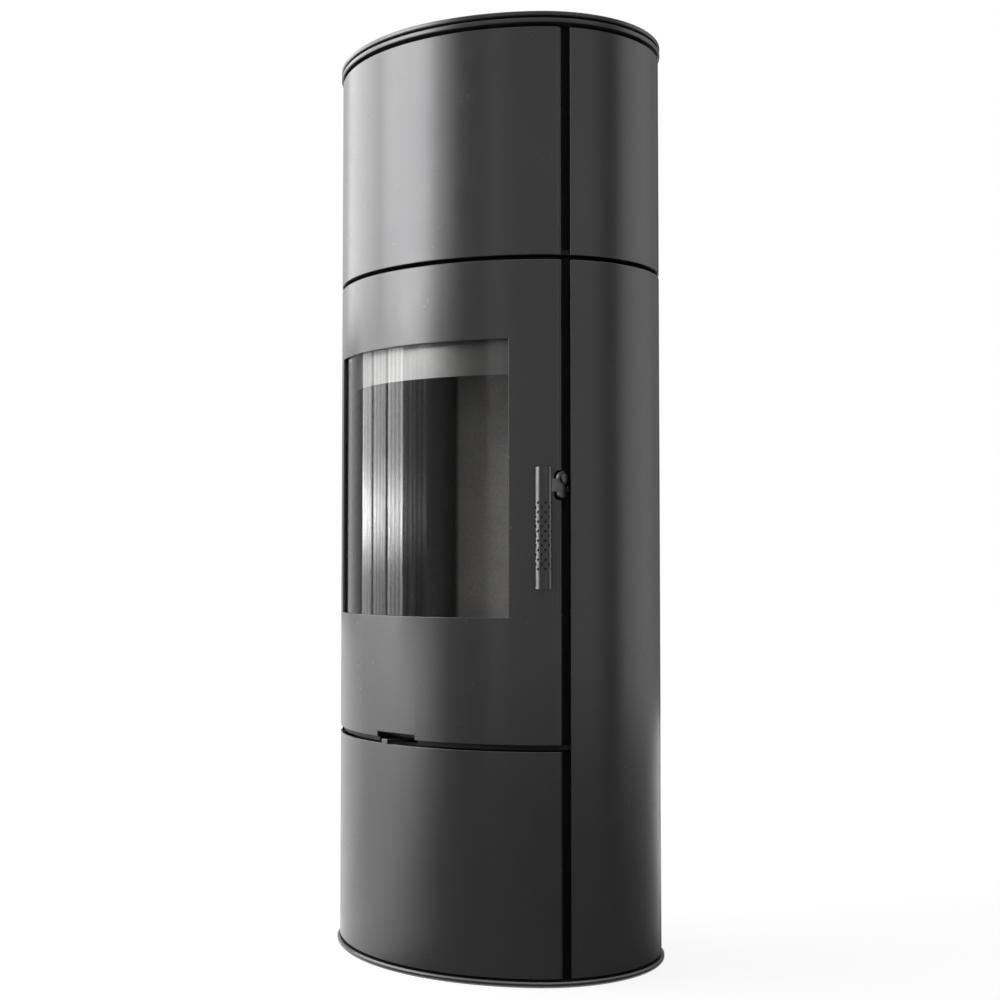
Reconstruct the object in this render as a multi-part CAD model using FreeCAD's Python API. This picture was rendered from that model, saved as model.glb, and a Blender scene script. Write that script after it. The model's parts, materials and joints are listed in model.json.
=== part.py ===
# Tall oval wood stove with a curved glass door, claw latch handle, lower door and air lever
import FreeCAD, Part
import math
import os

# Plan of the cladding: four tangent arcs
BODY_WIDTH = 542.0
BODY_DEPTH = 428.0
SIDE_RADIUS_SHARE = 0.425577

# Stack of heights, from the floor up
BASE_T = 8.0
BASE_GAP = 3.5
LOWER_DOOR_H = 312.5
LOWER_SEAM = 2.0
MID_T = 6.5
DOOR_SEAM = 1.0
DOOR_H = 681.8
UPPER_SEAM = 7.1
DIVIDER_T = 6.3
UPPER_PANEL_H = 325.6
TOP_GROOVE = 6.0
RING_T = 6.5
TOP_GAP = 3.5
TOP_T = 6.0

# Overhangs and chamfered rims of the horizontal plates
BASE_OVERHANG = 4.2
BASE_RIM = 2.0
TOP_OVERHANG = 2.4
TOP_RIM = 1.0
MID_FRONT_INSET = 6.0
PLATE_INSET = 2.8
SPACER_INSET = 9.0
SEAT_GAP = 0.3

# Cladding sheets; angles are measured from the front towards the right
SHEET_T = 2.5
DOOR_T = 3.0
FRONT_EDGE_DEG = 50.35
SIDE_START_DEG = 56.45
SIDE_END_DEG = 119.5
REAR_START_DEG = 120.7
BEND_R = 8.0
FLANGE_L = 4.0

# Inner frames and jackets
FRAME_INSET = 23.5
FRAME_T = 4.0
JACKET_T = 2.0
FRAME_EDGE_DEG = 62.0
JACKET_EDGE_DEG = 62.3
MOUTH_DEG = 35.0
MOUTH_RISE = 9.0
LINTEL_H = 127.4
ASH_MOUTH_RISE = 33.5
PEDESTAL_MOUTH_DEG = 38.0
PEDESTAL_RAIL_H = 24.0
WASH_T = 2.0
WASH_H = 80.0
WASH_SIDE_LAP = 12.0

# Firebox shell and linings
SHELL_SIDE_GAP = 77.0
SHELL_REAR_GAP = 114.0
SHELL_T = 4.0
SHELL_FLOOR_RISE = 129.5
SHELL_HEADROOM = 40.0
BRICK_T = 28.0
BRICK_BACK_T = 31.0
FLOOR_BRICK_T = 30.0
BAFFLE_T = 25.0
BAFFLE_DROP = 55.0
BAFFLE_SETBACK = 143.7
GRATE_HALF = 90.0
GRATE_SETBACK = 104.0
GRATE_REAR_GAP = 48.7
GRATE_T = 24.0
GRATE_LEDGE = 10.0
GRATE_SLOT_COUNT = 6
GRATE_SLOT_W = 10.0
GRATE_RIM = 14.0

# Ash pan and its rails
PAN_HALF = 104.0
PAN_SETBACK = 54.0
PAN_REAR_GAP = 60.0
PAN_H = 74.0
PAN_T = 1.5
PAN_SIDE_CLEAR = 8.0
PAN_TOP_CLEAR = 5.5
PAN_LIP_HALF = 30.0
PAN_LIP_L = 11.0
PAN_LIP_T = 2.0
PAN_LIP_DROP = 12.0
RAIL_X = 72.0
RAIL_W = 14.0

# Flue
FLUE_R = 75.0
FLUE_REAR_GAP = 5.0
FLUE_WALL = 2.0
FLUE_FLANGE_R = 88.0
FLUE_FLANGE_T = 3.0
COLLAR_R = 75.5
COLLAR_WALL = 3.5
COLLAR_LENGTH = 73.5
COLLAR_RECESS = 0.5

# Window, glass and its fixings
WINDOW_DEG = 33.3
WINDOW_RISE = 176.5
WINDOW_DROP = 111.8
GLASS_T = 4.0
GLASS_LAP = 15.5
GASKET_T = 1.1
GASKET_LAP = 1.5
LAYER_GAP = 0.2
RETAINER_T = 2.0
RETAINER_LAP = 7.5
RETAINER_W = 25.0
RETAINER_SIDE_W = 19.7

# Stiffening frame and rope seal on the back of the door
DOOR_FRAME_INSET = 9.0
DOOR_FRAME_T = 3.0
DOOR_FRAME_EDGE_DEG = 51.8
DOOR_FRAME_MARGIN = 11.5
ROPE_W = 10.0
ROPE_SIDE_GAP = 8.5
ROPE_MARGIN = 18.5
ROPE_TOP_MARGIN = 60.0

# Notches in the door for a finger at the air lever and for the latch
LEVER_NOTCH_HALF = 40.0
LEVER_NOTCH_H = 7.5
LATCH_NOTCH_DEG = 48.9
LATCH_NOTCH_BELOW = 31.0
LATCH_NOTCH_ABOVE = 11.5
LATCH_NOTCH_R = 8.0
FRAME_NOTCH_GAP = 3.9

# Hinges, on the centre of the rolled left edge
PIN_R = 3.0
PIN_COLLAR_R = 4.4
RUN_GAP = 0.05
TAB_T = 7.5
TAB_R = 4.6
TAB_DEPTH = 14.0
TAB_END_DEG = 42.0
TAB_RISE = 3.5
PIN_EXTRA = 4.0

# Latch claw, handle and striker
LATCH_OUT = 8.0
LATCH_IN = 3.1
LATCH_RISE = 372.5
CLAW_T = 4.0
CLAW_RING_R = 10.5
CLAW_PIN_R = 3.5
NECK_BELOW = 18.9
NECK_TOP_DROP = 0.8
JAW_DROP = 27.0
JAW_FRONT = 9.0
JAW_BACK = 9.5
MOUTH_CENTRE_Y = 8.0
MOUTH_DROP = 15.0
MOUTH_R = 5.0
STRIKER_R = 4.0
STRIKER_PLATE_IN = 15.0
STRIKER_PLATE_T = 4.0
STRIKER_PLATE_H = 16.0
STRIKER_PLATE_FRONT = 6.0
STRIKER_END = 5.0
LATCH_BLOCK_W = 8.5
LATCH_SHOULDER = 4.0
LATCH_BLOCK_H = 14.0
LATCH_BLOCK_BACK = 4.5
LATCH_HEAD_R = 6.0
LATCH_HEAD_T = 2.4
HANDLE_STANDOFF = 39.5
HANDLE_R = 11.9
HANDLE_WALL = 1.6
HANDLE_L = 168.8
HANDLE_ABOVE = 14.4
CAP_T = 2.5
CAP_PLUG = 6.0
HOLE_R = 2.2
HOLE_SIDE_COUNT = 8
HOLE_COLUMN_COUNT = 14
HOLE_ROW_COUNT = 8
HOLE_PITCH = 13.1
HOLE_TURN_DEG = 4.6
HOLES_ABOVE = 27.4

# Air valve on the mid plate, with a lever cranked down through a slot in the plate
AIR_SETBACK = 119.0
AIR_REST_DEG = -8.8
VALVE_R = 45.0
VALVE_T = 2.0
VALVE_HOLE_R = 14.0
VALVE_HOLE_AT = 27.0
LEVER_T = 3.5
LEVER_W = 14.0
LEVER_RISE = 1.0
LEVER_SLOT_HALF = 40.0
LEVER_SLOT_LAP = 1.0
CRANK_GAP = 3.0
LIP_PROUD = 2.0
LIP_W = 15.0
LIP_H = 6.6
LIP_T = 2.2
LIP_DROP = 1.6
LIP_EDGE_R = 1.0
AIR_BOLT_R = 4.0
AIR_HEAD_R = 7.0
AIR_HEAD_T = 3.0

# Lower door catch
CATCH_DEG = 44.0
CATCH_SPAN_DEG = 3.0
CATCH_RISE = 138.5
CATCH_H = 40.0
CATCH_PLATE_T = 2.0
CATCH_GAP = 0.6

# Rear: convection slots and combustion air collar
SLOT_HALF = 70.0
SLOT_H = 8.0
SLOT_PITCH = 20.0
SLOT_ROW_COUNT = 5
SLOT_MARGIN = 60.0
AIR_IN_RISE = 182.0
AIR_IN_R = 50.0
AIR_IN_WALL = 2.0

CUT = 20.0
FULL_TURN = 360.0
HALF_TURN = 180.0

# Levels that follow from the stack
PANEL_Z0 = BASE_T + BASE_GAP
LOWER_Z1 = PANEL_Z0 + LOWER_DOOR_H
MID_Z0 = LOWER_Z1 + LOWER_SEAM
MID_Z1 = MID_Z0 + MID_T
DOOR_Z0 = MID_Z1 + DOOR_SEAM
DOOR_Z1 = DOOR_Z0 + DOOR_H
DIVIDER_Z0 = DOOR_Z1 + UPPER_SEAM
DIVIDER_Z1 = DIVIDER_Z0 + DIVIDER_T
UPPER_Z1 = DIVIDER_Z0 + UPPER_PANEL_H
RING_Z0 = UPPER_Z1 + TOP_GROOVE
RING_Z1 = RING_Z0 + RING_T
TOP_Z0 = RING_Z1 + TOP_GAP
TOP_Z1 = TOP_Z0 + TOP_T
SIDE_Z1 = DOOR_Z1
FRAME_BACK = FRAME_INSET + FRAME_T
DOOR_FRAME_Z0 = DOOR_Z0 + DOOR_FRAME_MARGIN
DOOR_FRAME_Z1 = DOOR_Z1 - DOOR_FRAME_MARGIN
GASKET_IN = DOOR_T + LAYER_GAP
GLASS_IN = GASKET_IN + GASKET_T + LAYER_GAP
RETAINER_IN = GLASS_IN + GLASS_T + LAYER_GAP
WINDOW_Z0 = DOOR_Z0 + WINDOW_RISE
WINDOW_Z1 = DOOR_Z1 - WINDOW_DROP
GLASS_Z0 = WINDOW_Z0 - GLASS_LAP
GLASS_Z1 = WINDOW_Z1 + GLASS_LAP
COLLAR_Z1 = TOP_Z1 - COLLAR_RECESS
COLLAR_Z0 = COLLAR_Z1 - COLLAR_LENGTH
ASH_MOUTH_Z0 = MID_Z1 + ASH_MOUTH_RISE
PAN_Z0 = ASH_MOUTH_Z0 + PAN_T
ASH_MOUTH_Z1 = PAN_Z0 + PAN_H + PAN_TOP_CLEAR
ASH_MOUTH_HALF = PAN_HALF + PAN_SIDE_CLEAR
SHELL_FLOOR_Z = MID_Z1 + SHELL_FLOOR_RISE
SHELL_TOP_Z = DIVIDER_Z0 - SHELL_HEADROOM
BRICK_Z0 = SHELL_FLOOR_Z + SHELL_T
FLOOR_Z = BRICK_Z0 + FLOOR_BRICK_T
BRICK_TOP_Z = SHELL_TOP_Z - BAFFLE_DROP - BAFFLE_T
MOUTH_Z0 = FLOOR_Z + MOUTH_RISE
MOUTH_Z1 = SHELL_TOP_Z - LINTEL_H
LATCH_Z = DOOR_Z0 + LATCH_RISE
HANDLE_Z1 = LATCH_Z + HANDLE_ABOVE
HANDLE_Z0 = HANDLE_Z1 - HANDLE_L
CATCH_Z0 = PANEL_Z0 + CATCH_RISE
AIR_IN_Z = BASE_T + AIR_IN_RISE

# Radii and centres of the plan's arcs
HALF_WIDTH = BODY_WIDTH / 2
HALF_DEPTH = BODY_DEPTH / 2
SIDE_RADIUS = SIDE_RADIUS_SHARE * BODY_DEPTH
SIDE_CENTRE = HALF_WIDTH - SIDE_RADIUS
FRONT_RADIUS = (SIDE_CENTRE ** 2 + HALF_DEPTH ** 2 - SIDE_RADIUS ** 2) / (BODY_DEPTH - 2 * SIDE_RADIUS)
ARC_RISE = FRONT_RADIUS - HALF_DEPTH
BLEND_DEG = math.degrees(math.atan2(SIDE_CENTRE, ARC_RISE))

# Places in plan that follow from the cladding
SHELL_HALF = HALF_WIDTH - SHELL_SIDE_GAP
SHELL_BACK = HALF_DEPTH - SHELL_REAR_GAP
LINING_HALF = SHELL_HALF - SHELL_T - SEAT_GAP
INNER_HALF = LINING_HALF - BRICK_T
LINING_BACK = SHELL_BACK - SEAT_GAP
INNER_BACK = LINING_BACK - BRICK_BACK_T
GRATE_Y0 = -HALF_DEPTH + GRATE_SETBACK
GRATE_Y1 = INNER_BACK - GRATE_REAR_GAP
PAN_Y0 = -HALF_DEPTH + PAN_SETBACK
PAN_Y1 = SHELL_BACK - PAN_REAR_GAP
FLUE_Y = SHELL_BACK - FLUE_REAR_GAP - FLUE_R
AIR_PIVOT_Y = -HALF_DEPTH + AIR_SETBACK
LEVER_REACH = AIR_SETBACK + LIP_PROUD


def vec(x, y, z=0.0):
    return FreeCAD.Vector(x, y, z)


# Point of the plan at an angle from the front, inset from the cladding's outer face
def oval_point(angle, inset):
    turn = (angle + HALF_TURN) % FULL_TURN - HALF_TURN
    sine = math.sin(math.radians(turn))
    cosine = math.cos(math.radians(turn))
    if abs(turn) <= BLEND_DEG:
        return vec((FRONT_RADIUS - inset) * sine, ARC_RISE - (FRONT_RADIUS - inset) * cosine)
    if abs(turn) >= HALF_TURN - BLEND_DEG:
        return vec((FRONT_RADIUS - inset) * sine, -ARC_RISE - (FRONT_RADIUS - inset) * cosine)
    side = math.copysign(SIDE_CENTRE, turn)
    return vec(side + (SIDE_RADIUS - inset) * sine, -(SIDE_RADIUS - inset) * cosine)


# Angle reached from a start angle on the front by going a length along the plan, at an inset
def angle_past(start, length, inset):
    front = FRONT_RADIUS - inset
    side = SIDE_RADIUS - inset
    blend = math.radians(BLEND_DEG) * front
    along = math.radians(min(start, BLEND_DEG)) * front
    along += math.radians(max(start - BLEND_DEG, 0)) * side + length
    if along <= blend:
        return math.degrees(along / front)
    return BLEND_DEG + math.degrees((along - blend) / side)


# Arcs of the plan between two angles, split where the arcs blend
def oval_arcs(start, end, inset):
    joins = [start, end]
    for turn in (-FULL_TURN, 0.0, FULL_TURN):
        for base in (BLEND_DEG, HALF_TURN - BLEND_DEG, HALF_TURN + BLEND_DEG, FULL_TURN - BLEND_DEG):
            if start < base + turn < end:
                joins.append(base + turn)
    joins.sort()
    edges = []
    for first, last in zip(joins, joins[1:]):
        middle = (first + last) / 2
        points = [oval_point(angle, inset) for angle in (first, middle, last)]
        edges.append(Part.Arc(*points).toShape())
    return edges


def line(first, last):
    return Part.LineSegment(first, last).toShape()


def prism(edges, z0, z1):
    wire = Part.Wire(Part.__sortEdges__(edges))
    solid = Part.Face(wire).extrude(vec(0, 0, z1 - z0))
    solid.translate(vec(0, 0, z0))
    return solid


def oval_plate(inset, z0, z1):
    return prism(oval_arcs(BLEND_DEG, BLEND_DEG + FULL_TURN, inset), z0, z1)


# Curved sheet between two insets and two angles
def shell(outer, inner, start, end, z0, z1):
    edges = oval_arcs(start, end, outer) + oval_arcs(start, end, inner)
    edges.append(line(oval_point(start, outer), oval_point(start, inner)))
    edges.append(line(oval_point(end, outer), oval_point(end, inner)))
    return prism(edges, z0, z1)


def box(x0, x1, y0, y1, z0, z1):
    return Part.makeBox(x1 - x0, y1 - y0, z1 - z0, vec(x0, y0, z0))


def rod(radius, x, y, z0, z1):
    return Part.makeCylinder(radius, z1 - z0, vec(x, y, z0))


def rod_x(radius, y, z, x0, x1):
    return Part.makeCylinder(radius, x1 - x0, vec(x0, y, z), vec(1, 0, 0))


def mirror_x(shape):
    return shape.mirror(vec(0, 0, 0), vec(1, 0, 0))


def fuse(shapes):
    return shapes[0].multiFuse(shapes[1:]).removeSplitter()


# Oval plate whose upper and lower rims are chamfered
def rimmed_plate(inset, z0, z1, rim):
    plate = oval_plate(inset, z0, z1)
    level = [edge for edge in plate.Edges if edge.BoundBox.ZLength < rim]
    return plate.makeChamfer(rim, level)


# Front sheet with rolled vertical edges and short flanges behind them
def bent_panel(thickness, z0, z1):
    normal = vec(math.sin(math.radians(FRONT_EDGE_DEG)), -math.cos(math.radians(FRONT_EDGE_DEG)))
    along = vec(math.cos(math.radians(FRONT_EDGE_DEG)), math.sin(math.radians(FRONT_EDGE_DEG)))
    diagonal = (normal + along).normalize()
    centre = oval_point(FRONT_EDGE_DEG, BEND_R)
    inner_r = BEND_R - thickness
    edges = oval_arcs(-FRONT_EDGE_DEG, FRONT_EDGE_DEG, 0)
    edges += oval_arcs(-FRONT_EDGE_DEG, FRONT_EDGE_DEG, thickness)
    outer_end = centre + along * BEND_R
    inner_end = centre + along * inner_r
    outer_tip = outer_end - normal * FLANGE_L
    inner_tip = inner_end - normal * FLANGE_L
    right = [Part.Arc(centre + normal * BEND_R, centre + diagonal * BEND_R, outer_end).toShape(),
             Part.Arc(centre + normal * inner_r, centre + diagonal * inner_r, inner_end).toShape(),
             line(outer_end, outer_tip), line(outer_tip, inner_tip), line(inner_tip, inner_end)]
    left = [mirror_x(edge) for edge in right]
    return prism(edges + right + left, z0, z1)


# Base, mid, divider and top plates
def base_plate():
    return rimmed_plate(-BASE_OVERHANG, 0, BASE_T, BASE_RIM)


def mid_plate():
    plate = oval_plate(PLATE_INSET, MID_Z0, MID_Z1)
    plate = plate.cut(shell(-CUT, MID_FRONT_INSET, -TAB_END_DEG, FRAME_EDGE_DEG,
                            MID_Z0 - CUT, MID_Z1 + CUT))
    plate = plate.cut(box(-LEVER_SLOT_HALF, LEVER_SLOT_HALF, -BODY_DEPTH,
                          AIR_PIVOT_Y - VALVE_R + LEVER_SLOT_LAP, MID_Z0 - CUT, MID_Z1 + CUT))
    for side in (-VALVE_HOLE_AT, VALVE_HOLE_AT):
        plate = plate.cut(rod(VALVE_HOLE_R, side, AIR_PIVOT_Y, MID_Z0 - CUT, MID_Z1 + CUT))
    return plate


def flue_hole(radius):
    return rod(radius, 0, FLUE_Y, SHELL_FLOOR_Z, TOP_Z1 + CUT)


def divider_plate():
    return oval_plate(PLATE_INSET, DIVIDER_Z0, DIVIDER_Z1).cut(flue_hole(FLUE_R + SEAT_GAP))


def top_ring():
    ring = rimmed_plate(-TOP_OVERHANG, RING_Z0, RING_Z1, TOP_RIM)
    return ring.cut(flue_hole(COLLAR_R + COLLAR_WALL + SEAT_GAP))


def top_spacer():
    return oval_plate(SPACER_INSET, RING_Z1, TOP_Z0).cut(flue_hole(COLLAR_R + COLLAR_WALL + SEAT_GAP))


def top_plate():
    plate = rimmed_plate(-TOP_OVERHANG, TOP_Z0, TOP_Z1, TOP_RIM)
    return plate.cut(flue_hole(COLLAR_R + COLLAR_WALL + SEAT_GAP))


# Inner jackets and frames
def jacket(z0, z1):
    return shell(FRAME_INSET, FRAME_INSET + JACKET_T, JACKET_EDGE_DEG, FULL_TURN - JACKET_EDGE_DEG, z0, z1)


def pedestal_jacket():
    hole = Part.makeCylinder(AIR_IN_R + SEAT_GAP, BODY_DEPTH, vec(0, 0, AIR_IN_Z), vec(0, 1, 0))
    return jacket(BASE_T, MID_Z0).cut(hole)


def body_jacket():
    return jacket(MID_Z1, DIVIDER_Z0)


def upper_jacket():
    ring = oval_plate(FRAME_INSET, DIVIDER_Z1, RING_Z0)
    return ring.cut(oval_plate(FRAME_INSET + JACKET_T, DIVIDER_Z1 - CUT, RING_Z0 + CUT))


def pedestal_frame():
    frame = shell(FRAME_INSET, FRAME_BACK, -FRAME_EDGE_DEG, FRAME_EDGE_DEG, BASE_T, MID_Z0)
    mouth = shell(FRAME_INSET - CUT, FRAME_BACK + CUT, -PEDESTAL_MOUTH_DEG, PEDESTAL_MOUTH_DEG,
                  BASE_T + PEDESTAL_RAIL_H, MID_Z0 - PEDESTAL_RAIL_H)
    return frame.cut(mouth)


def front_frame():
    frame = shell(FRAME_INSET, FRAME_BACK, -FRAME_EDGE_DEG, FRAME_EDGE_DEG, MID_Z1, DIVIDER_Z0)
    frame = frame.cut(shell(FRAME_INSET - CUT, FRAME_BACK + CUT, -MOUTH_DEG, MOUTH_DEG, MOUTH_Z0, MOUTH_Z1))
    return frame.cut(box(-ASH_MOUTH_HALF, ASH_MOUTH_HALF, -BODY_DEPTH, 0, ASH_MOUTH_Z0, ASH_MOUTH_Z1))


# Curved plate over the mouth that leads air down the glass
def air_wash_plate():
    edge = angle_past(MOUTH_DEG, WASH_SIDE_LAP, FRAME_INSET)
    inner = FRAME_INSET - SEAT_GAP
    return shell(inner - WASH_T, inner, -edge, edge, MOUTH_Z1, MOUTH_Z1 + WASH_H)


# Welded firebox: walls down to the mid plate, a floor with an ash hole and a roof with the flue hole
def firebox_shell():
    inner_half = SHELL_HALF - SHELL_T
    solid = box(-SHELL_HALF, SHELL_HALF, -BODY_DEPTH, SHELL_BACK + SHELL_T, MID_Z1, SHELL_TOP_Z)
    solid = solid.cut(box(-inner_half, inner_half, -BODY_DEPTH, SHELL_BACK,
                          SHELL_FLOOR_Z + SHELL_T, SHELL_TOP_Z - SHELL_T))
    solid = solid.cut(box(-inner_half, inner_half, -BODY_DEPTH, SHELL_BACK, MID_Z1, SHELL_FLOOR_Z))
    solid = solid.cut(box(-GRATE_HALF + GRATE_LEDGE, GRATE_HALF - GRATE_LEDGE, GRATE_Y0 + GRATE_LEDGE,
                          GRATE_Y1 - GRATE_LEDGE, MID_Z1, SHELL_FLOOR_Z + CUT))
    solid = solid.cut(rod(FLUE_R - FLUE_WALL, 0, FLUE_Y, SHELL_TOP_Z - CUT, SHELL_TOP_Z + CUT))
    return solid.common(oval_plate(FRAME_BACK + SEAT_GAP, MID_Z1, SHELL_TOP_Z))


def behind_frame(solid):
    return solid.common(oval_plate(FRAME_BACK + SEAT_GAP, 0, TOP_Z1))


def brick_right():
    return behind_frame(box(INNER_HALF, LINING_HALF, -BODY_DEPTH, LINING_BACK, FLOOR_Z, BRICK_TOP_Z))


def brick_left():
    return mirror_x(brick_right())


def brick_back():
    edge = INNER_HALF - SEAT_GAP
    return box(-edge, edge, INNER_BACK, LINING_BACK, FLOOR_Z, BRICK_TOP_Z)


def brick_floor():
    solid = behind_frame(box(-LINING_HALF, LINING_HALF, -BODY_DEPTH, LINING_BACK, BRICK_Z0, FLOOR_Z))
    return solid.cut(box(-GRATE_HALF - SEAT_GAP, GRATE_HALF + SEAT_GAP, GRATE_Y0 - SEAT_GAP,
                         GRATE_Y1 + SEAT_GAP, BRICK_Z0 - CUT, FLOOR_Z + CUT))


def baffle_plate():
    return box(-LINING_HALF, LINING_HALF, -HALF_DEPTH + BAFFLE_SETBACK, LINING_BACK,
               BRICK_TOP_Z, BRICK_TOP_Z + BAFFLE_T)


def grate():
    solid = box(-GRATE_HALF, GRATE_HALF, GRATE_Y0, GRATE_Y1, BRICK_Z0, BRICK_Z0 + GRATE_T)
    span = 2 * (GRATE_HALF - GRATE_RIM)
    for row in range(GRATE_SLOT_COUNT):
        centre = -GRATE_HALF + GRATE_RIM + span * (row + 1 / 2) / GRATE_SLOT_COUNT
        slot = box(centre - GRATE_SLOT_W / 2, centre + GRATE_SLOT_W / 2, GRATE_Y0 + GRATE_RIM,
                   GRATE_Y1 - GRATE_RIM, BRICK_Z0 - CUT, BRICK_Z0 + GRATE_T + CUT)
        solid = solid.cut(slot)
    return solid


def ash_pan():
    solid = box(-PAN_HALF, PAN_HALF, PAN_Y0, PAN_Y1, PAN_Z0, PAN_Z0 + PAN_H)
    solid = solid.cut(box(-PAN_HALF + PAN_T, PAN_HALF - PAN_T, PAN_Y0 + PAN_T, PAN_Y1 - PAN_T,
                          PAN_Z0 + PAN_T, PAN_Z0 + PAN_H + CUT))
    lip_z = PAN_Z0 + PAN_H - PAN_LIP_DROP
    lip = box(-PAN_LIP_HALF, PAN_LIP_HALF, PAN_Y0 - PAN_LIP_L, PAN_Y0, lip_z, lip_z + PAN_LIP_T)
    return fuse([solid, lip])


def ash_pan_rails():
    rail = box(RAIL_X, RAIL_X + RAIL_W, PAN_Y0, PAN_Y1, MID_Z1, PAN_Z0)
    return Part.Compound([rail, mirror_x(rail)])


# Flue pipe through the upper section and the collar in the top
def flue_pipe():
    tube = rod(FLUE_R, 0, FLUE_Y, SHELL_TOP_Z, COLLAR_Z0)
    flange = rod(FLUE_FLANGE_R, 0, FLUE_Y, SHELL_TOP_Z, SHELL_TOP_Z + FLUE_FLANGE_T)
    return fuse([tube, flange]).cut(rod(FLUE_R - FLUE_WALL, 0, FLUE_Y, SHELL_TOP_Z - CUT, COLLAR_Z0 + CUT))


def flue_collar():
    collar = rod(COLLAR_R + COLLAR_WALL, 0, FLUE_Y, COLLAR_Z0, COLLAR_Z1)
    return collar.cut(rod(COLLAR_R, 0, FLUE_Y, COLLAR_Z0 - CUT, COLLAR_Z1 + CUT))


# Cladding
def side_panel_right():
    return shell(0, SHEET_T, SIDE_START_DEG, SIDE_END_DEG, PANEL_Z0, SIDE_Z1)


def side_panel_left():
    return mirror_x(side_panel_right())


def upper_side_panel_right():
    return shell(0, SHEET_T, SIDE_START_DEG, SIDE_END_DEG, DIVIDER_Z0, UPPER_Z1)


def upper_side_panel_left():
    return mirror_x(upper_side_panel_right())


def slot_rows(z_top):
    rows = []
    for row in range(SLOT_ROW_COUNT):
        z0 = z_top - row * SLOT_PITCH
        rows.append(box(-SLOT_HALF, SLOT_HALF, 0, BODY_DEPTH, z0 - SLOT_H, z0))
    return Part.Compound(rows)


def rear_panel():
    panel = shell(0, SHEET_T, REAR_START_DEG, FULL_TURN - REAR_START_DEG, PANEL_Z0, SIDE_Z1)
    panel = panel.cut(slot_rows(SIDE_Z1 - SLOT_MARGIN))
    hole = Part.makeCylinder(AIR_IN_R + SEAT_GAP, BODY_DEPTH, vec(0, 0, AIR_IN_Z), vec(0, 1, 0))
    return panel.cut(hole)


def upper_rear_panel():
    panel = shell(0, SHEET_T, REAR_START_DEG, FULL_TURN - REAR_START_DEG, DIVIDER_Z0, UPPER_Z1)
    return panel.cut(slot_rows(UPPER_Z1 - SLOT_MARGIN))


def upper_front_panel():
    panel = bent_panel(SHEET_T, DIVIDER_Z0, UPPER_Z1)
    return panel.cut(oval_plate(PLATE_INSET - LAYER_GAP, DIVIDER_Z0 - CUT, DIVIDER_Z1 + SEAT_GAP))


def air_collar():
    foot = vec(0, HALF_DEPTH - FRAME_INSET, AIR_IN_Z)
    tube = Part.makeCylinder(AIR_IN_R, FRAME_INSET, foot, vec(0, 1, 0))
    bore = Part.makeCylinder(AIR_IN_R - AIR_IN_WALL, BODY_DEPTH, vec(0, 0, AIR_IN_Z), vec(0, 1, 0))
    return tube.cut(bore)


# Hinges
HINGE = oval_point(-FRONT_EDGE_DEG, BEND_R)


def hinge_pin(z0, z1, collar_z1):
    pin = rod(PIN_R, HINGE.x, HINGE.y, min(z0, z1), max(z0, z1))
    if collar_z1 is None:
        return pin
    return fuse([pin, rod(PIN_COLLAR_R, HINGE.x, HINGE.y, min(z0, collar_z1), max(z0, collar_z1))])


def hinge_tab(thickness, z0):
    arm = shell(thickness + SEAT_GAP, TAB_DEPTH, -FRONT_EDGE_DEG, -TAB_END_DEG, z0, z0 + TAB_T)
    eye = rod(TAB_R, HINGE.x, HINGE.y, z0, z0 + TAB_T)
    hole = rod(PIN_R + RUN_GAP, HINGE.x, HINGE.y, z0 - CUT, z0 + TAB_T + CUT)
    return fuse([arm, eye]).cut(hole)


DOOR_TAB_Z = DOOR_Z0 + TAB_RISE
DOOR_TOP_TAB_Z = DOOR_Z1 - TAB_RISE - TAB_T
LOWER_TAB_Z = PANEL_Z0 + TAB_RISE
LOWER_TOP_TAB_Z = LOWER_Z1 - TAB_RISE - TAB_T


def door_hinge_pins():
    low = hinge_pin(MID_Z1, DOOR_TAB_Z + TAB_T, DOOR_TAB_Z - SEAT_GAP)
    high = hinge_pin(DIVIDER_Z0, DOOR_TOP_TAB_Z, None)
    return Part.Compound([low, high])


def lower_hinge_pins():
    low = hinge_pin(BASE_T, LOWER_TAB_Z + TAB_T + PIN_EXTRA, LOWER_TAB_Z - SEAT_GAP)
    high = hinge_pin(MID_Z0, LOWER_TOP_TAB_Z - PIN_EXTRA, None)
    return Part.Compound([low, high])


def door_hinge_tabs():
    return Part.Compound([hinge_tab(DOOR_T, DOOR_TAB_Z), hinge_tab(DOOR_T, DOOR_TOP_TAB_Z)])


def lower_hinge_tabs():
    return Part.Compound([hinge_tab(SHEET_T, LOWER_TAB_Z), hinge_tab(SHEET_T, LOWER_TOP_TAB_Z)])


# Notch round the latch, with two rounded corners on the door's side
def latch_notch(start):
    notch = shell(-CUT, FRAME_INSET, start, SIDE_START_DEG, LATCH_Z - LATCH_NOTCH_BELOW,
                  LATCH_Z + LATCH_NOTCH_ABOVE)
    ends = (oval_point(start, -CUT), oval_point(start, FRAME_INSET))
    corners = []
    for edge in notch.Edges:
        places = [vec(vertex.X, vertex.Y) for vertex in edge.Vertexes]
        if all(min(place.distanceToPoint(end) for end in ends) < SEAT_GAP for place in places):
            if edge.BoundBox.ZLength < LATCH_NOTCH_R:
                corners.append(edge)
    return notch.makeFillet(LATCH_NOTCH_R, corners)


# Door sheet with the window, the finger notch and the latch notch
def door_panel():
    panel = bent_panel(DOOR_T, DOOR_Z0, DOOR_Z1)
    panel = panel.cut(shell(-CUT, CUT, -WINDOW_DEG, WINDOW_DEG, WINDOW_Z0, WINDOW_Z1))
    panel = panel.cut(box(-LEVER_NOTCH_HALF, LEVER_NOTCH_HALF, -BODY_DEPTH, 0, DOOR_Z0 - CUT,
                          DOOR_Z0 + LEVER_NOTCH_H))
    return panel.cut(latch_notch(LATCH_NOTCH_DEG))


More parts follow.
